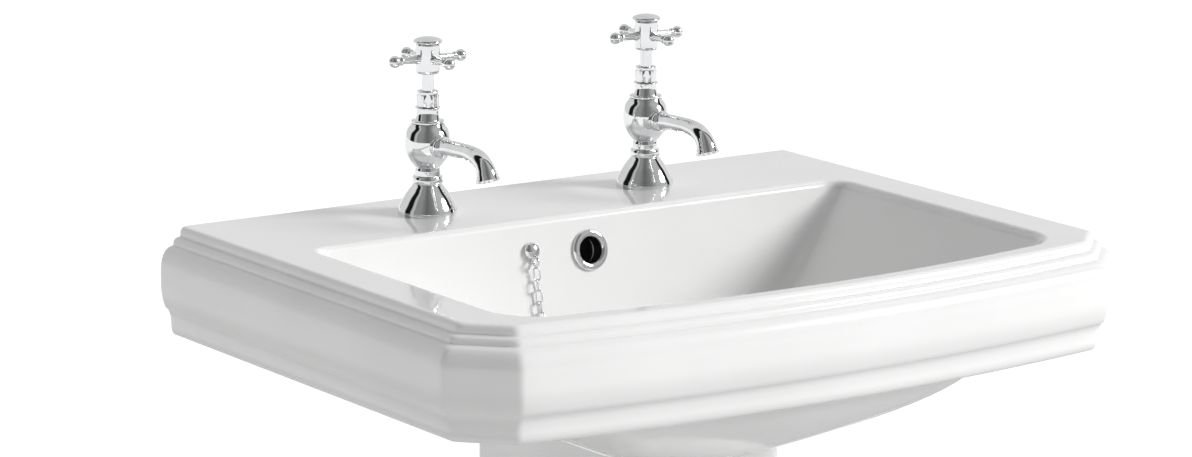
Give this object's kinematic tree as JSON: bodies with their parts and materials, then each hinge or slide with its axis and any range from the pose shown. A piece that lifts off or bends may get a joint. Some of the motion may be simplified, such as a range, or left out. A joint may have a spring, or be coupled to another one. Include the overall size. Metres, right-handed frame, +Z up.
{
  "type": "pedestal sink",
  "caption": "Pedestal washbasin with a moulded rectangular rim, crosshead pillar taps, plug on a chain, bottle trap, and a full-height pedestal",
  "frame": {"origin": "on the floor, centred under the whole sink left to right and front to back", "axes": "+Z up, the front faces -Y, the wall is on the +Y side, +X to the right as seen from the front"},
  "size_m": [0.6, 0.4414, 0.9851],
  "materials": {
    "glazed_ceramic": "gloss white glaze",
    "chrome": "polished",
    "brass": "plain turned",
    "rubber": "matte",
    "white_plastic": "satin",
    "steel": "zinc plated"
  },
  "bodies": {
    "frame": {"basin": "glazed_ceramic", "pedestal": "glazed_ceramic", "left_tap_body": "chrome", "left_spout": "chrome", "left_headgear": "chrome", "left_gland_nut": "chrome", "left_gland_packing": "rubber", "left_base_seal": "rubber", "left_backnut": "brass", "left_wall_bolt": "steel", "left_wall_nut": "steel", "left_floor_screw": "steel", "left_top_hat_washer": "white_plastic", "left_wall_washer": "white_plastic", "left_floor_washer": "white_plastic", "right_tap_body": "chrome", "right_spout": "chrome", "right_headgear": "chrome", "right_gland_nut": "chrome", "right_gland_packing": "rubber", "right_base_seal": "rubber", "right_backnut": "brass", "right_wall_bolt": "steel", "right_wall_nut": "steel", "right_floor_screw": "steel", "right_top_hat_washer": "white_plastic", "right_wall_washer": "white_plastic", "right_floor_washer": "white_plastic", "waste_body": "chrome", "overflow_ring": "chrome", "chain_stay": "chrome", "plug_chain": "chrome", "waste_flange_seal": "rubber", "waste_under_seal": "rubber", "trap_inlet_seal": "rubber", "trap_cup_seal": "rubber", "trap_outlet_seal": "rubber", "waste_backnut": "brass", "chain_stay_nut": "brass", "trap_body": "white_plastic", "trap_inlet_nut": "white_plastic", "trap_cup": "white_plastic", "waste_pipe": "white_plastic", "trap_outlet_nut": "white_plastic"},
    "left_valve": {"left_jumper_valve": "brass", "left_tap_washer": "rubber"},
    "left_handle": {"left_cross_handle": "chrome", "left_index_cap": "chrome", "left_handle_screw": "steel", "left_spindle": "chrome"},
    "right_valve": {"right_jumper_valve": "brass", "right_tap_washer": "rubber"},
    "right_handle": {"right_cross_handle": "chrome", "right_index_cap": "chrome", "right_handle_screw": "steel", "right_spindle": "chrome"},
    "plug": {"plug_body": "rubber", "plug_cap": "chrome", "plug_ring": "chrome"}
  },
  "joints": [
    {"name": "left_valve_lift", "type": "slide", "parent": "frame", "child": "left_valve", "axis": [0, 0, 1], "range_m": [0, 0.005]},
    {"name": "left_handle_turn", "type": "hinge", "parent": "left_valve", "child": "left_handle", "pos_m": [-0.1005, 0.16415, 0.968], "axis": [0, 0, 1], "range_deg": [0, 900]},
    {"name": "right_valve_lift", "type": "slide", "parent": "frame", "child": "right_valve", "axis": [0, 0, 1], "range_m": [0, 0.005]},
    {"name": "right_handle_turn", "type": "hinge", "parent": "right_valve", "child": "right_handle", "pos_m": [0.1005, 0.16415, 0.968], "axis": [0, 0, 1], "range_deg": [0, 900]},
    {"name": "plug_lift", "type": "slide", "parent": "frame", "child": "plug", "axis": [0, 0, 1], "range_m": [0, 0.04], "deforming": ["plug_chain"]}
  ],
  "couplings": [
    {"joint": "left_handle_turn", "follows": "left_valve_lift", "rad_per_m": 3141.6},
    {"joint": "right_handle_turn", "follows": "right_valve_lift", "rad_per_m": 3141.6}
  ]
}
